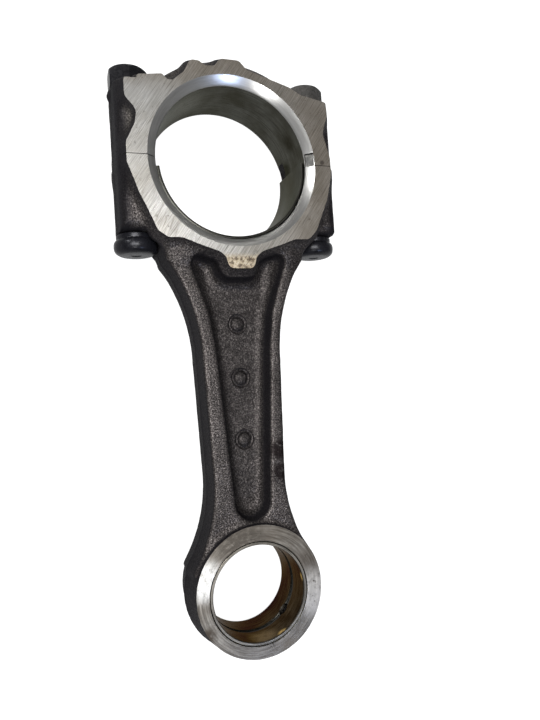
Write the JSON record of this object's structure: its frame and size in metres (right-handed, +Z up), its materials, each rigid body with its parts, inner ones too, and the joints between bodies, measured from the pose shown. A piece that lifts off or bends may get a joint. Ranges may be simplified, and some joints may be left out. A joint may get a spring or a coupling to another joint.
{
  "type": "connecting rod",
  "caption": "Forged connecting rod with a bolted bearing cap, a bronze small-end bush and a loose half bearing shell, joining a piston pin to a crank pin.",
  "frame": {"origin": "centre of the bounding box, at the level of the big end's rear machined faces on which the rod lies", "axes": "+Z up along both bores towards the seen faces, +Y along the rod from the small end to the bearing cap, +X across the rod"},
  "size_m": [0.1104, 0.281, 0.0375],
  "materials": {
    "forged_steel": "dark shot-blasted forging scale, side faces ground bright",
    "cap_steel": "dark forging scale, side faces ground bright",
    "bearing_bronze": "oil-stained bored bronze",
    "bearing_metal": "satin steel back and worn grey lining",
    "bolt_steel": "black oxide, oily",
    "nut_steel": "black oxide, oily"
  },
  "bodies": {
    "rod": {"rod_body": "forged_steel", "small_end_bush": "bearing_bronze"},
    "cap": {"bearing_cap": "cap_steel"},
    "shell": {"bearing_shell_lower": "bearing_metal"},
    "bolt_l": {"bolt_left": "bolt_steel"},
    "bolt_r": {"bolt_right": "bolt_steel"},
    "nut_l": {"nut_left": "nut_steel"},
    "nut_r": {"nut_right": "nut_steel"}
  },
  "joints": [
    {"name": "cap_lift", "type": "slide", "parent": "rod", "child": "cap", "axis": [0, 1, 0], "range_m": [0, 0.06]},
    {"name": "nut_left_run_off", "type": "slide", "parent": "cap", "child": "nut_l", "axis": [0, 1, 0], "range_m": [0, 0.015]},
    {"name": "nut_right_run_off", "type": "slide", "parent": "cap", "child": "nut_r", "axis": [0, 1, 0], "range_m": [0, 0.015]},
    {"name": "bolt_left_withdraw", "type": "slide", "parent": "rod", "child": "bolt_l", "axis": [0, -1, 0], "range_m": [0, 0.085]},
    {"name": "bolt_right_withdraw", "type": "slide", "parent": "rod", "child": "bolt_r", "axis": [0, -1, 0], "range_m": [0, 0.085]},
    {"name": "shell_turn", "type": "hinge", "parent": "rod", "child": "shell", "pos_m": [0, 0.0895, 0], "axis": [0, 0, 1], "range_deg": [-4.5, 6]}
  ]
}
